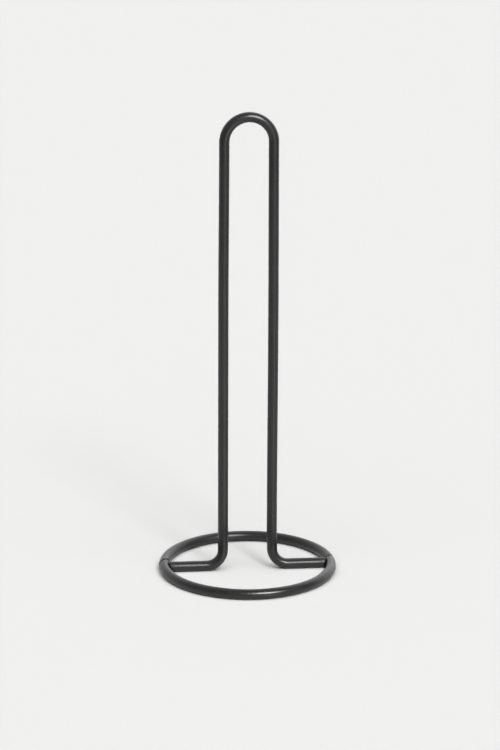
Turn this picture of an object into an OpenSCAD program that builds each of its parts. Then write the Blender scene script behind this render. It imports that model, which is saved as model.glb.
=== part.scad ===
// Free-standing paper towel holder of coated steel rod.
// A hairpin upright stands on a round wire base made of two arcs.
// Millimetres, +Z up, origin at the centre of the ring on the table.
// +X points along the feet to the right, the front is towards -Y.

/* [Rod] */
// Diameter of the steel rod that everything is bent from
rod_d = 7; // [5:0.25:8]

/* [Hairpin upright] */
// Height of the top of the loop above the table
overall_h = 320.5; // [260:0.5:340]
// Outer width across the two legs, which the roll's core slips over
hairpin_w = 40.5; // [34:0.5:44]
// Centre-line radius of the bend between a leg and its foot
foot_bend_r = 11.25; // [9:0.25:14]

/* [Base ring] */
// Outer diameter of the ring
ring_od = 120.5; // [110:0.5:150]
// Distance of the left seam behind the line of the feet
seam_left_back = 5.75; // [5.5:0.25:9]
// Distance of the right seam behind the line of the feet
seam_right_back = 4.5; // [4.5:0.25:9]
// Turn of the left cut away from square, in degrees, seen from above
seam_left_turn = 40; // [0:1:45]
// Turn of the right cut away from square, in degrees, seen from above
seam_right_turn = 10; // [0:1:15]

/* [Welded joints] */
// Gap between the two cut ends of the ring at a seam
seam_gap = 0.8; // [0.3:0.05:0.9]
// Gap between the end of a foot and the ring
foot_gap = 0.8; // [0.3:0.05:1]
// How far every weld stays below the surface of the rod
weld_recess = 0.8; // [0.2:0.05:1]

/* [Hidden] */
$fn = 96;
rod_r = rod_d / 2;
leg_x = hairpin_w / 2 - rod_r;
ring_r = ring_od / 2 - rod_r;
loop_z = overall_h - rod_r - leg_x;
bend_z = rod_r + foot_bend_r;
bend_x = leg_x + foot_bend_r;
weld_r = rod_r - weld_recess;
seam_reach = 3 * rod_d;
plate_h = 2 * rod_d;
field = ring_od;
left_seam_angle = 180 - asin(seam_left_back / ring_r);
right_seam_angle = asin(seam_right_back / ring_r);
coat_black = [0.07, 0.07, 0.075];
weld_black = [0.03, 0.03, 0.033];

// A full ring of round section, lying at the height of the base
module ring(tube_r) {
    translate([0, 0, rod_r])
        rotate_extrude()
            translate([ring_r, 0])
                circle(r = tube_r);
}

// Puts its child on the ring's centre line at a seam, with +X along the cut
module at_seam(angle, turn) {
    translate([ring_r * cos(angle), ring_r * sin(angle), rod_r])
        rotate([0, 0, turn])
            children();
}

// The thin upright slice between the two arcs at a seam
module seam_slice() {
    cube([seam_reach, seam_gap, plate_h], center = true);
}

module seam_slices() {
    at_seam(left_seam_angle, seam_left_turn)
        seam_slice();
    at_seam(right_seam_angle, seam_right_turn)
        seam_slice();
}

// A point of the cut line at a seam, this far along it from the ring's centre line
function cut_point(angle, turn, along) = [
    ring_r * cos(angle) + along * cos(turn),
    ring_r * sin(angle) + along * sin(turn)
];

// Everything in front of the two cuts, as a thick plate
module front_field() {
    right_outer = cut_point(right_seam_angle, seam_right_turn, rod_d);
    right_inner = cut_point(right_seam_angle, seam_right_turn, -rod_d);
    left_inner = cut_point(left_seam_angle, seam_left_turn, rod_d);
    left_outer = cut_point(left_seam_angle, seam_left_turn, -rod_d);
    translate([0, 0, rod_r - plate_h / 2])
        linear_extrude(plate_h)
            polygon([
                [-field, -field],
                [field, -field],
                [field, right_outer[1]],
                right_outer,
                right_inner,
                left_inner,
                left_outer,
                [-field, left_outer[1]]
            ]);
}

// The hairpin's half-round top
module loop() {
    translate([0, 0, loop_z])
        rotate([90, 0, 0])
            rotate_extrude(angle = 180)
                translate([leg_x, 0])
                    circle(r = rod_r);
}

// One leg, standing on its bend
module leg() {
    translate([leg_x, 0, bend_z])
        cylinder(r = rod_r, h = loop_z - bend_z);
}

// The bend that turns the leg outwards along the table
module foot_bend() {
    translate([bend_x, 0, bend_z])
        rotate([90, 0, 0])
            rotate([0, 0, 180])
                rotate_extrude(angle = 90)
                    translate([foot_bend_r, 0])
                        circle(r = rod_r);
}

// The straight foot, its end shaped to the inner side of the ring
module foot() {
    difference() {
        translate([bend_x, 0, rod_r])
            rotate([0, 90, 0])
                cylinder(r = rod_r, h = ring_r - bend_x);
        ring(rod_r + foot_gap);
    }
}

module right_half() {
    leg();
    foot_bend();
    foot();
}

// The fused core between the end of a foot and the ring
module foot_weld() {
    difference() {
        intersection() {
            translate([bend_x, 0, rod_r])
                rotate([0, 90, 0])
                    cylinder(r = weld_r, h = ring_r - bend_x);
            ring(rod_r + foot_gap);
        }
        ring(rod_r);
    }
}

module upright() {
    color(coat_black)
        union() {
            loop();
            right_half();
            mirror([1, 0, 0])
                right_half();
        }
}

module base_front_arc() {
    color(coat_black)
        difference() {
            intersection() {
                ring(rod_r);
                front_field();
            }
            seam_slices();
        }
}

module base_rear_arc() {
    color(coat_black)
        difference() {
            ring(rod_r);
            front_field();
            seam_slices();
        }
}

module seam_weld_left() {
    color(weld_black)
        intersection() {
            ring(weld_r);
            at_seam(left_seam_angle, seam_left_turn)
                seam_slice();
        }
}

module seam_weld_right() {
    color(weld_black)
        intersection() {
            ring(weld_r);
            at_seam(right_seam_angle, seam_right_turn)
                seam_slice();
        }
}

module foot_weld_left() {
    color(weld_black)
        mirror([1, 0, 0])
            foot_weld();
}

module foot_weld_right() {
    color(weld_black)
        foot_weld();
}

upright();
base_front_arc();
base_rear_arc();
seam_weld_left();
seam_weld_right();
foot_weld_left();
foot_weld_right();
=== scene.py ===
import math

import bmesh
import bpy
from mathutils import Matrix, Vector, noise


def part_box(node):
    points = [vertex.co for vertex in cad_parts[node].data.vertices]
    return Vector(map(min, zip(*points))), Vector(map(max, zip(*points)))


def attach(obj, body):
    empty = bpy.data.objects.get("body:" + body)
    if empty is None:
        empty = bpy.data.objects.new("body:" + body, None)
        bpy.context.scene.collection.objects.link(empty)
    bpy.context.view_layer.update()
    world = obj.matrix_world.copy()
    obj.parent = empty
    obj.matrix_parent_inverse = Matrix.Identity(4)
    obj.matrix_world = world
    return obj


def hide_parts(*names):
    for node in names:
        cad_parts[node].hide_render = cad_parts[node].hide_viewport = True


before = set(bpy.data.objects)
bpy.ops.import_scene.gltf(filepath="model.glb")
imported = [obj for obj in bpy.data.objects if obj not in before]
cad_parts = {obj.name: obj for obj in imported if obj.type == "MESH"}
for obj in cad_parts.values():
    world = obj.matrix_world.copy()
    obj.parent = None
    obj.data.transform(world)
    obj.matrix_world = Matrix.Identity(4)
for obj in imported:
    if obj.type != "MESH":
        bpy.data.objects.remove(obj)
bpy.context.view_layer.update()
scene = bpy.context.scene

MM = 0.001

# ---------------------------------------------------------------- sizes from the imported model
ring_low, ring_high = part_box("base_front_arc")
top_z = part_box("upright")[1].z
ROD = ring_high.z / 2                      # radius of the rod
RING = -ring_low.y - ROD                   # centre-line radius of the base ring

# ---------------------------------------------------------------- sizes that the CAD model has too
LEG = 16.75 * MM                           # from the middle to the centre of a leg
BEND = 11.25 * MM                          # centre-line radius of the bend at a foot
FOOT_GAP = 0.8 * MM                        # from the end of a foot to the ring
FOOT_RECESS = 0.8 * MM                     # how far the feet's welds stay below the rod's surface
loop_z = top_z - ROD - LEG
bend_z = ROD + BEND
bend_x = LEG + BEND
foot_length = RING - ROD - FOOT_GAP - bend_x

# ---------------------------------------------------------------- sizes of the fine detail
AROUND = 64                                # points round a rod
SEAMS = {
    "left": {
        "back": 5.75 * MM,                 # how far the seam lies behind the line of the feet
        "turn": math.radians(40),          # how far its cut is turned away from square, seen from above
        "gap": 1.05 * MM,
        "painted_shade_bands": 8,                  # bands of faces at each cut end that lie in the groove and take its painted shade
    },
    "right": {
        "back": 4.5 * MM,
        "turn": math.radians(10),
        "gap": 0.80 * MM,
        "painted_shade_bands": 5,
    },
}
SEAM_RECESS = 0.9 * MM                     # how far the ring's welds stay below the rod's surface
CLOSED_SHARE = 0.12                        # how open the right seam is beside its pit, from 0 to 1
PIT_PULL = 0.55 * MM                       # how far each cut end stands back at the pit
PIT_RUN = 3.0 * MM                         # how far along the rod that reaches
PIT_DEPTH = 0.6 * MM                       # how much deeper the weld lies there
CUT_FILLET = 0.55 * MM                     # rounding of the ring's cut ends
FOOT_FILLET = 0.20 * MM                    # rounding of a foot's end
FOOT_DRAW = 0.16 * MM                      # how much thinner a foot is at its end
FOOT_DRAW_RUN = 2.4 * MM                   # how far along the foot that reaches
BEND_FLATTENING = 0.025                    # share of the rod's thickness that a tight bend loses
LEAN_AT_LOOP = {"left": 0.45 * MM, "right": 0.20 * MM}      # how far the legs close in near the loop
LEAN_AT_FOOT = 0.25 * MM                   # how far the right leg closes in above its bend

# ---------------------------------------------------------------- looks
FLOOR_RADIUS = 0.95
APRON_RADIUS = 2.4                         # how far the floor goes on, out of the rods' reflections
FLOOR_TONE = 0.470                         # the floor's albedo
SEEN_WALL = (0.873, 0.873, 0.868, 1)       # the tone that the camera sees past the floor
LAMP_COLOUR = (1, 1, 0.992)
STREAK_STRENGTH = 3.9                      # the softbox, as the gloss shows it
BOUNCE_STRENGTH = 0.24                     # the light thrown up by the floor, as the gloss shows it
BOUNCE_AZIMUTH, BOUNCE_ELEVATION = 24, -25
BOUNCE_WIDTH = 14                          # in degrees
BOUNCE_FAR = 6.0                           # metres
SUN_FAR = 3.0                              # metres, where a sun's own place makes no difference


# ---------------------------------------------------------------- general helpers
def smoothstep(a, b, x):
    t = min(1.0, max(0.0, (x - a) / (b - a)))
    return t * t * (3 - 2 * t)


def add_object(name, data):
    thing = bpy.data.objects.new(name, data)
    scene.collection.objects.link(thing)
    return thing


def toward(azimuth, elevation):
    """The direction of this azimuth, from -Y towards +X, and elevation, both in degrees."""
    az, el = math.radians(azimuth), math.radians(elevation)
    return Vector((math.sin(az) * math.cos(el), -math.cos(az) * math.cos(el), math.sin(el)))


def around():
    """The angles of the points round a rod."""
    return [2 * math.pi * k / AROUND for k in range(AROUND)]


def mesh_from_rings(name, rings, shade_painted_rows=()):
    """A closed tube through rings of points. Bands of faces in a groove take the second material, a darker,
    nearly unreflecting coat that paints the groove's shade.
    """
    count = len(rings[0])
    verts = [p for ring in rings for p in ring]
    last = len(verts) - count
    faces = []
    for start in range(0, last, count):
        for k in range(count):
            n = (k + 1) % count
            faces.append((start + k, start + n, start + count + n, start + count + k))
    for start in (0, last):
        middle = sum((verts[start + k] for k in range(count)), Vector()) / count
        verts.append(middle)
        for k in range(count):
            n = (k + 1) % count
            tri = (start + k, start + n, len(verts) - 1)
            faces.append(tri if start else tri[::-1])
    mesh = bpy.data.meshes.new(name)
    mesh.from_pydata([tuple(v) for v in verts], [], faces)
    build = bmesh.new()
    build.from_mesh(mesh)
    bmesh.ops.recalc_face_normals(build, faces=build.faces)
    build.to_mesh(mesh)
    build.free()
    for face in mesh.polygons:
        face.use_smooth = True
        band = min(face.vertices) // count
        face.material_index = 1 if any(low <= band < high for low, high in shade_painted_rows) else 0
    return add_object(name, mesh)


# ---------------------------------------------------------------- the hairpin
def foot_end_x(y, z, clear):
    """Where something that stops this far clear of the ring's inner side ends, at this y and z."""
    tube = ROD + clear
    rise = min(abs(z - ROD), tube * 0.9999)
    inner = RING - math.sqrt(tube * tube - rise * rise)
    return math.sqrt(inner * inner - y * y)


def foot_radius(back):
    """The foot draws in a little over its last few millimetres, where it was pressed on hot."""
    return ROD - FOOT_DRAW * (1 - smoothstep(0, FOOT_DRAW_RUN, back))


def foot_ring(side, radius, back):
    """A ring of a foot, this far back from its end. Its slant fades out along the foot."""
    square = RING - ROD - FOOT_GAP - back
    share = smoothstep(1.0 * MM, 9.0 * MM, back)
    pts = []
    for a in around():
        y, z = radius * math.cos(a), ROD + radius * math.sin(a)
        near = foot_end_x(y, z, FOOT_GAP) - back
        pts.append(Vector((side * (near + (square - near) * share), y, z)))
    return pts


def foot_rings(side):
    """Rings from the middle of the foot's end face, round its edge and along it to the bend."""
    rings = []
    for share in (0.15, 0.4, 0.65, 0.85):
        rings.append(foot_ring(side, (foot_radius(0) - FOOT_FILLET) * share, 0))
    for a in [math.pi / 2 * i / 6 for i in range(7)]:
        back = FOOT_FILLET * (1 - math.cos(a))
        rings.append(foot_ring(side, foot_radius(back) - FOOT_FILLET * (1 - math.sin(a)), back))
    for mm in (0.45, 0.7, 1.0, 1.4, 1.9, 2.5):
        rings.append(foot_ring(side, foot_radius(mm * MM), mm * MM))
    count = int(foot_length / MM)
    for i in range(3, count + 1):
        rings.append(foot_ring(side, ROD, foot_length * i / count))
    return rings


def section(centre, outward, bend_share=0.0):
    """A rod section in the plane of Y and the outward direction, flattened where the rod is bent."""
    thick = ROD * (1 - BEND_FLATTENING * bend_share)
    return [centre + Vector((0, ROD * math.cos(a), 0)) + outward * (thick * math.sin(a)) for a in around()]


def bend_section(side, done):
    """A section of the bend, where done goes from 0 at the foot to 1 at the leg."""
    a = math.pi / 2 * done
    centre = Vector((side * bend_x, 0, bend_z)) + Vector((-side * math.sin(a), 0, -math.cos(a))) * BEND
    outward = Vector((side * math.sin(a), 0, math.cos(a)))
    return section(centre, outward, max(0.0, math.sin(math.pi * done)) ** 0.5)


def leg_section(side, z):
    return section(Vector((side * LEG, 0, z)), Vector((side, 0, 0)))


def loop_section(done):
    """A section of the loop, where done goes from 0 at the left leg to 1 at the right one."""
    a = math.pi * (1 - done)
    out = Vector((math.cos(a), 0, math.sin(a)))
    return section(Vector((0, 0, loop_z)) + out * LEG, out, 0.5 * min(1.0, math.sin(math.pi * done) * 3))


def bent_by_hand(p):
    """The legs aren't quite straight: they close in a little, as they were bent."""
    near_loop = smoothstep(0.19, 0.30, p.z)
    near_foot = (1 - smoothstep(0.05, 0.16, p.z)) * smoothstep(0.012, 0.03, p.z)
    left = LEAN_AT_LOOP["left"] * near_loop
    right = -LEAN_AT_LOOP["right"] * near_loop - LEAN_AT_FOOT * near_foot
    share = smoothstep(-LEG, LEG, p.x)
    return Vector((p.x + left + (right - left) * share, p.y, p.z))


def build_upright():
    def shares(count):
        return [i / count for i in range(1, count + 1)]

    climb = loop_z - bend_z
    rings = foot_rings(-1)
    rings += [bend_section(-1, done) for done in shares(26)]
    rings += [leg_section(-1, bend_z + climb * done) for done in shares(150)]
    rings += [loop_section(done) for done in shares(64)]
    rings += [leg_section(1, loop_z - climb * done) for done in shares(150)]
    rings += [bend_section(1, 1 - done) for done in shares(26)]
    rings += reversed(foot_rings(1)[:-1])
    return mesh_from_rings("upright_rod", [[bent_by_hand(p) for p in ring] for ring in rings])


# ---------------------------------------------------------------- the base ring
def ring_point(angle, out, rise):
    """A point at this angle round the ring, this far out from the rod's centre line and above it."""
    return Vector(((RING + out) * math.cos(angle), (RING + out) * math.sin(angle), ROD + rise))


def seam_angle(side):
    """Where a seam lies on the ring's centre line, as an angle from +X."""
    angle = math.asin(SEAMS[side]["back"] / RING)
    return math.pi - angle if side == "left" else angle


def cut_angle(radius, side, offset):
    """Where a circle of this radius meets a seam's cut line, moved sideways by offset, as an angle."""
    turn = SEAMS[side]["turn"]
    to_seam = seam_angle(side) - turn
    base = math.asin((RING * math.sin(to_seam) + offset) / radius)
    return turn + (math.pi - base if to_seam > math.pi / 2 else base)


def pit(side, a):
    """How deep in the right seam's open pit this angle round the rod is: inwards of its top."""
    if side == "left":
        return 0.0
    out = math.cos(a)
    inner_half = smoothstep(-0.80, -0.50, out) * (1 - smoothstep(-0.10, 0.25, out))
    return inner_half * smoothstep(0.0, 0.2, math.sin(a))


def openness(side, a):
    """How far a seam's groove is open at this angle round the rod. The right one is nearly closed."""
    return 1.0 if side == "left" else CLOSED_SHARE + (1 - CLOSED_SHARE) * pit(side, a)


def build_arc(name, sides, ends, count):
    """A length of ring rod between two cut ends, whose edges are ground round.

    The ends are functions that give the angle of a cut at a radius."""
    length = abs(ends[1](RING) - ends[0](RING)) * RING
    steps = [math.pi / 2 * i / 8 for i in range(9)]
    curve = [(CUT_FILLET * (1 - math.cos(a)), CUT_FILLET * (1 - math.sin(a))) for a in steps]
    cap = [(0, 2.9 * MM), (0, 2.2 * MM), (0, 1.4 * MM)] + curve     # how far back, and how much thinner

    def ring_at(from_start, from_end, draw, side):
        pts = []
        for a in around():
            radius = ROD - draw * openness(side, a)
            out = radius * math.cos(a)
            start, stop = ends[0](RING + out), ends[1](RING + out)
            pull = pit(sides[0], a) * (1 - smoothstep(0, PIT_RUN, from_start))
            pull -= pit(sides[1], a) * (1 - smoothstep(0, PIT_RUN, from_end))
            angle = start + (stop - start) * from_start / length + pull * PIT_PULL / RING
            pts.append(ring_point(angle, out, radius * math.sin(a)))
        return pts

    rings = [ring_at(back, length - back, draw, sides[0]) for back, draw in cap]
    for i in range(2, count - 1):
        rings.append(ring_at(length * i / count, length * (1 - i / count), 0, sides[0]))
    rings += [ring_at(length - back, back, draw, sides[1]) for back, draw in reversed(cap)]
    first, second = (SEAMS[side]["painted_shade_bands"] for side in sides)
    return mesh_from_rings(name, rings, shade_painted_rows=((0, first), (len(rings) - 1 - second, len(rings))))


def build_front_arc():
    def left_end(radius):
        return cut_angle(radius, "left", -SEAMS["left"]["gap"] / 2)

    def right_end(radius):
        return cut_angle(radius, "right", -SEAMS["right"]["gap"] / 2) + 2 * math.pi

    return build_arc("base_front_rod", ("left", "right"), (left_end, right_end), 380)


def build_rear_arc():
    def right_end(radius):
        return cut_angle(radius, "right", SEAMS["right"]["gap"] / 2)

    def left_end(radius):
        return cut_angle(radius, "left", SEAMS["left"]["gap"] / 2)

    return build_arc("base_rear_rod", ("right", "left"), (right_end, left_end), 340)


# ---------------------------------------------------------------- the welds
def uneven(a, row, size, depth):
    """A smooth random height, up to depth, at this angle round a weld's rim. Each weld has its own row."""
    return depth * noise.noise(Vector((math.cos(a), math.sin(a), row)) / size)


def build_seam_weld(side):
    """The fused core between two cut ends, uneven round its rim and a little waisted."""
    half = SEAMS[side]["gap"] / 2
    row = {"left": 3.0, "right": 9.0}[side]

    def ring_at(share, offset):
        pts = []
        for a in around():
            r = ROD - SEAM_RECESS * openness(side, a) - PIT_DEPTH * pit(side, a)
            r += uneven(a, row, 0.6, 0.07 * MM)
            r *= share
            out = r * math.cos(a)
            angle = cut_angle(RING + out, side, offset * (1 + PIT_PULL * pit(side, a) / half))
            pts.append(ring_point(angle, out, r * math.sin(a)))
        return pts

    waist = ((-1, 1), (-0.7, 0.995), (-0.35, 0.985), (0, 0.98), (0.35, 0.985), (0.7, 0.995), (1, 1))
    rings = [ring_at(share, -half) for share in (0.3, 0.7)]
    rings += [ring_at(share, offset * half) for offset, share in waist]
    rings += [ring_at(share, half) for share in (0.7, 0.3)]
    return mesh_from_rings("seam_weld_core_" + side, rings)


def build_foot_weld(side):
    """The fused joint between the end of a foot and the ring's inner side."""
    sign = -1 if side == "left" else 1
    core = ROD - FOOT_RECESS

    def ring_at(radius, clear, rough_rim=False):
        pts = []
        for a in around():
            r = radius + (uneven(a, 5.0 * sign, 0.5, 0.10 * MM) if rough_rim else 0)
            y, z = r * math.cos(a), ROD + r * math.sin(a)
            pts.append(Vector((sign * foot_end_x(y, z, clear), y, z)))
        return pts

    rings = [ring_at(core * share, FOOT_GAP) for share in (0.25, 0.6, 0.9)]
    for t in (0.0, 0.2, 0.4, 0.6, 0.8, 1.0):
        pinch = 0.06 * MM * math.sin(math.pi * t)
        rings.append(ring_at(core - pinch, FOOT_GAP * (1 - t), rough_rim=True))
    rings += [ring_at(core * share, 0.0) for share in (0.9, 0.6, 0.25)]
    return mesh_from_rings("foot_weld_core_" + side, rings)


# ---------------------------------------------------------------- node helpers
class Nodes:
    """Short calls that make and link the nodes of one tree."""

    def __init__(self, tree):
        self.tree = tree
        tree.nodes.clear()

    def new(self, kind, **inputs):
        """A node, with these inputs put. An underscore stands for a space in an input's name."""
        node = self.tree.nodes.new(kind)
        for name, value in inputs.items():
            self.put(node.inputs[name.replace("_", " ")], value)
        return node

    def put(self, socket, value):
        """Links another node's output to this input, or sets the input to a constant."""
        if isinstance(value, bpy.types.NodeSocket):
            self.tree.links.new(value, socket)
        else:
            socket.default_value = value

    def math(self, operation, *values):
        node = self.tree.nodes.new("ShaderNodeMath")
        node.operation = operation
        for socket, value in zip(node.inputs, values):
            self.put(socket, value)
        return node.outputs["Value"]

    def ramp(self, value, low, high, start, stop, kind="LINEAR"):
        """Goes from start to stop as the value goes from low to high."""
        node = self.new(
            "ShaderNodeMapRange", Value=value, From_Min=low, From_Max=high, To_Min=start, To_Max=stop)
        node.interpolation_type = kind
        return node.outputs["Result"]


# ---------------------------------------------------------------- materials
def coated_material(name, base, rough, seed, peel_depth, gloss_level=0.5, grain=0.03,
                    dull_from=None, dull_by=0.15, left_only=False):
    """Satin powder coat: fine orange peel, slightly uneven gloss and tone.

    It may be duller further out along X than dull_from, on the left only or on both sides."""
    mat = bpy.data.materials.new(name)
    mat.use_nodes = True
    nodes = Nodes(mat.node_tree)
    out = nodes.new("ShaderNodeOutputMaterial")
    bsdf = nodes.new("ShaderNodeBsdfPrincipled", Metallic=0.0, IOR=1.5, Specular_IOR_Level=gloss_level)
    nodes.put(out.inputs["Surface"], bsdf.outputs["BSDF"])
    place = nodes.new("ShaderNodeTexCoord").outputs["Object"]
    shift = nodes.new("ShaderNodeMapping", Vector=place, Location=(seed * 0.37, seed * 0.11, seed * 0.23))

    def texture(scale, detail):
        speckle = nodes.new(
            "ShaderNodeTexNoise", Vector=shift.outputs["Vector"], Scale=scale, Detail=detail, Roughness=0.5)
        return speckle.outputs["Fac"]

    def blend(a, share_a, b, share_b):
        return nodes.math("ADD", nodes.math("MULTIPLY", a, share_a), nodes.math("MULTIPLY", b, share_b))

    cloud = texture(70, 3)                  # patches of 10 to 15 mm
    fleck = texture(1500, 2)                # the coat's fine grain
    mix = nodes.new("ShaderNodeMix")
    mix.data_type = "RGBA"
    nodes.put(mix.inputs["A"], (base * 0.70, base * 0.72, base * 0.78, 1))
    nodes.put(mix.inputs["B"], (base * 1.35, base * 1.30, base * 1.28, 1))
    nodes.put(mix.inputs["Factor"], nodes.ramp(blend(cloud, 0.6, fleck, 0.4), 0.3, 0.7, 0, 1))
    nodes.put(bsdf.inputs["Base Color"], mix.outputs["Result"])

    patches = nodes.ramp(cloud, 0.3, 0.7, rough - 0.04, rough + 0.04)
    dullness = nodes.math("ADD", patches, nodes.ramp(fleck, 0.3, 0.7, -grain, grain))
    if dull_from:
        x = nodes.new("ShaderNodeSeparateXYZ", Vector=place).outputs["X"]
        reach = nodes.math("MULTIPLY", x, -1.0) if left_only else nodes.math("ABSOLUTE", x)
        dullness = nodes.math("ADD", dullness, nodes.ramp(reach, dull_from, dull_from + 2 * MM, 0, dull_by))
    nodes.put(bsdf.inputs["Roughness"], dullness)

    peel = blend(texture(900, 2), 0.30, texture(2600, 2), 0.30)
    bump = nodes.new("ShaderNodeBump", Height=peel, Strength=peel_depth, Distance=0.06 * MM)
    nodes.put(bsdf.inputs["Normal"], bump.outputs["Normal"])
    return mat


def give(piece, *materials):
    piece.data.materials.clear()
    for mat in materials:
        piece.data.materials.append(mat)


rod_coat = coated_material(
    "satin_black_coat", 0.005, 0.30, 1.0, 0.06, grain=0.012, dull_from=RING - ROD - 5.5 * MM)
ring_coat = coated_material(
    "satin_black_coat_ring", 0.005, 0.27, 2.0, 0.2, grain=0.02,
    dull_from=RING - ROD - 1.0 * MM, dull_by=0.09, left_only=True)
rear_coat = coated_material("satin_black_coat_rear", 0.005, 0.33, 4.0, 0.2, grain=0.02)
# Painted shade: a darker, nearly unreflecting coat for the weld cores and the cut ends' faces in the seam
# and foot grooves, so that they read as shadowed. The real coat there is the same satin black as on the
# rods.
groove_shade_coat = coated_material("coat_painted_groove_shade", 0.002, 0.80, 3.0, 0.6, gloss_level=0.1)

# ---------------------------------------------------------------- the pieces
upright = build_upright()
front = build_front_arc()
rear = build_rear_arc()
give(upright, rod_coat)
give(front, ring_coat, groove_shade_coat)
give(rear, rear_coat, groove_shade_coat)
pieces = [
    (upright, "upright", "coated_rod"),
    (front, "base_front_arc", "coated_rod"),
    (rear, "base_rear_arc", "coated_rod"),
]
for side in ("left", "right"):
    seam = build_seam_weld(side)
    foot = build_foot_weld(side)
    # the weld cores take the painted groove shade
    give(seam, groove_shade_coat)
    give(foot, groove_shade_coat)
    pieces.append((seam, "seam_weld_" + side, "coated_weld"))
    pieces.append((foot, "foot_weld_" + side, "coated_weld"))
for piece, node, slot_name in pieces:
    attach(piece, "root")
    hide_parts(node)


# ---------------------------------------------------------------- floor
def circle(radius, count=180):
    angles = [2 * math.pi * k / count for k in range(count)]
    return [(radius * math.cos(a), radius * math.sin(a), 0) for a in angles]


def build_floor(name, points, faces, mat):
    mesh = bpy.data.meshes.new(name)
    mesh.from_pydata(points, [], faces)
    mesh.materials.append(mat)
    plane = add_object(name, mesh)
    return plane


paper = bpy.data.materials.new("pale_floor")
paper.use_nodes = True
paper_shader = paper.node_tree.nodes["Principled BSDF"]
paper_shader.inputs["Base Color"].default_value = (FLOOR_TONE, FLOOR_TONE, FLOOR_TONE, 1)
paper_shader.inputs["Roughness"].default_value = 0.9
paper_shader.inputs["Specular IOR Level"].default_value = 0.0
rim = circle(FLOOR_RADIUS)
turn = len(rim)
build_floor("floor", rim, [tuple(range(turn))], paper)
apron_faces = [(k + turn, (k + 1) % turn + turn, (k + 1) % turn, k) for k in range(turn)]
apron = build_floor("floor_apron", rim + circle(APRON_RADIUS), apron_faces, paper)
apron.visible_glossy = False               # the rods mirror the room beyond the floor

# ---------------------------------------------------------------- the room, as the gloss shows it
world = bpy.data.worlds.new("studio")
scene.world = world
world.cycles_visibility.diffuse = False    # the floor is lit by the lamps alone
world.use_nodes = True
sky = Nodes(world.node_tree)
looked_at = sky.new("ShaderNodeTexCoord").outputs["Generated"]
looked_xyz = sky.new("ShaderNodeSeparateXYZ", Vector=looked_at).outputs


def step(value, low, high, start, stop):
    return sky.ramp(value, low, high, start, stop, kind="SMOOTHSTEP")


def glow(azimuth, elevation, wide, narrow, strength):
    """A soft round patch of light: its full strength within the narrow angle, none past the wide one."""
    aim = sky.tree.nodes.new("ShaderNodeVectorMath")
    aim.operation = "DOT_PRODUCT"
    sky.put(aim.inputs[0], looked_at)
    sky.put(aim.inputs[1], toward(azimuth, elevation))
    edge, core = math.cos(math.radians(wide)), math.cos(math.radians(narrow))
    return step(aim.outputs["Value"], edge, core, 0.0, strength)


below_table = step(looked_xyz["Z"], -0.15, 0.05, 0.30, 0.44)
ceiling = step(looked_xyz["Z"], 0.55, 0.95, 0.0, -0.06)
room = sky.math("ADD", below_table, ceiling)
behind = step(looked_xyz["Y"], -0.05, 0.45, 0.0, 1.0)
wall = step(looked_xyz["X"], -0.9, 0.9, 0.32, 1.12)
window = sky.math(
    "MULTIPLY", step(looked_xyz["X"], 0.0, 0.25, 0.0, 0.7), step(looked_xyz["X"], 0.30, 0.60, 1.0, 0.0))
window = sky.math("MULTIPLY", window, step(looked_xyz["Z"], 0.15, 0.42, 0.0, 1.0))
window = sky.math("MULTIPLY", window, step(looked_xyz["Z"], 0.45, 0.75, 1.0, 0.0))
room = sky.math("ADD", room, sky.math("MULTIPLY", behind, sky.math("ADD", wall, window)))
room = sky.math("ADD", room, glow(24, -6, wide=38, narrow=6, strength=0.80))
mirrored = sky.new("ShaderNodeBackground", Strength=room, Color=(1, 1, 1, 1))
seen = sky.new("ShaderNodeBackground", Strength=1.0, Color=SEEN_WALL)
choice = sky.new("ShaderNodeMixShader")
sky.put(choice.inputs["Fac"], sky.new("ShaderNodeLightPath").outputs["Is Camera Ray"])
sky.put(choice.inputs[1], mirrored.outputs["Background"])
sky.put(choice.inputs[2], seen.outputs["Background"])
sky.new("ShaderNodeOutputWorld", Surface=choice.outputs["Shader"])


# ---------------------------------------------------------------- lamps
def place_lamp(name, data, azimuth, elevation, far):
    """Puts a lamp this far away in a direction, shining at the origin."""
    lamp = add_object(name, data)
    source = toward(azimuth, elevation)
    lamp.rotation_mode = "QUATERNION"
    lamp.rotation_quaternion = source.to_track_quat("Z", "Y")
    lamp.location = source * far
    return lamp


def sun(name, azimuth, elevation, strength, width):
    """A lamp that is very far away, with its width as an angle in degrees."""
    data = bpy.data.lights.new(name, "SUN")
    data.energy = strength
    data.angle = math.radians(width)
    data.color = LAMP_COLOUR
    return place_lamp(name, data, azimuth, elevation, SUN_FAR)


streak = sun("softbox_streak", 22, 36, STREAK_STRENGTH, 29)
streak.visible_diffuse = False

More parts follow.
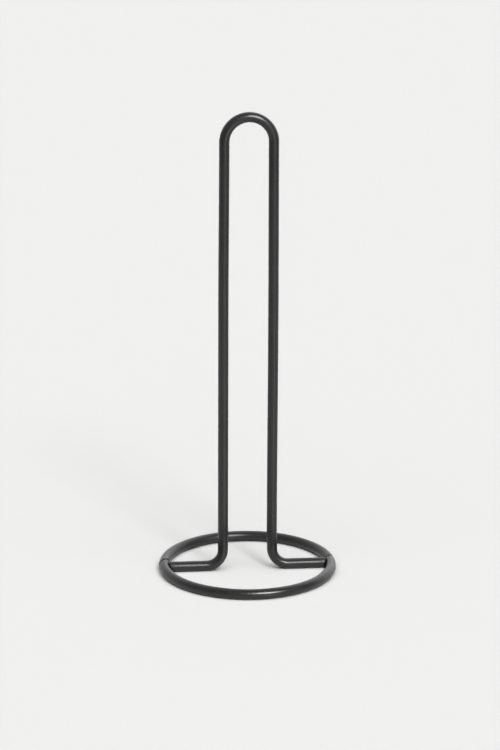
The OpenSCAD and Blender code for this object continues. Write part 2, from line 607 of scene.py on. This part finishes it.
bounce_data = bpy.data.lights.new("floor_bounce", "AREA")
bounce_data.shape = "DISK"
bounce_data.size = 2 * BOUNCE_FAR * math.tan(math.radians(BOUNCE_WIDTH / 2))
bounce_data.energy = BOUNCE_STRENGTH * math.pi * BOUNCE_FAR ** 2
bounce = place_lamp("floor_bounce", bounce_data, BOUNCE_AZIMUTH, BOUNCE_ELEVATION, BOUNCE_FAR)
bounce.visible_diffuse = False
bounce.visible_camera = False
rods = bpy.data.collections.new("bounce_blockers")     # the floor doesn't block it, only the rods do
for piece in (upright, front, rear):
    rods.objects.link(piece)
bounce.light_linking.blocker_collection = rods

for name, azimuth, elevation, strength, width in (
    ("key", 21, 46, 1.5, 12),
    ("glow_right", 27, 48, 1.5, 60),
    ("glow_left", -30, 46, 1.3, 60),
    ("glow_top", 0, 80, 2.75, 90),
):
    sun(name, azimuth, elevation, strength, width).visible_glossy = False

# ---------------------------------------------------------------- camera
CAM_DISTANCE = 2.7280                      # metres from the origin
CAM_AZIMUTH, CAM_ELEVATION = -5.4, 20.636  # in degrees
CAM_PAN = math.radians(0.0266)             # to the right of the origin
CAM_TILT = math.radians(2.7809)            # upwards from the origin
CAM_ROLL = math.radians(0.2116)
cam_data = bpy.data.cameras.new("camera")
cam_data.lens = 192.0
cam_data.sensor_width = 36.0
cam_data.clip_start = 0.05
cam_data.clip_end = 60.0
camera = add_object("camera", cam_data)


def turned(a, b, angle):
    """Two perpendicular directions, both turned in their plane by this angle, from a towards b."""
    return a * math.cos(angle) + b * math.sin(angle), b * math.cos(angle) - a * math.sin(angle)


position = toward(CAM_AZIMUTH, CAM_ELEVATION) * CAM_DISTANCE
forward = -position.normalized()
right = forward.cross(Vector((0, 0, 1))).normalized()
up = right.cross(forward)
forward, right = turned(forward, right, CAM_PAN)
forward, up = turned(forward, up, CAM_TILT)
right, up = turned(right, up, CAM_ROLL)
camera.matrix_world = Matrix((
    (right.x, up.x, -forward.x, position.x),
    (right.y, up.y, -forward.y, position.y),
    (right.z, up.z, -forward.z, position.z),
    (0, 0, 0, 1),
))
scene.camera = camera
scene.view_settings.view_transform = "Standard"
scene.view_settings.look = "None"
scene.cycles.use_denoising = True
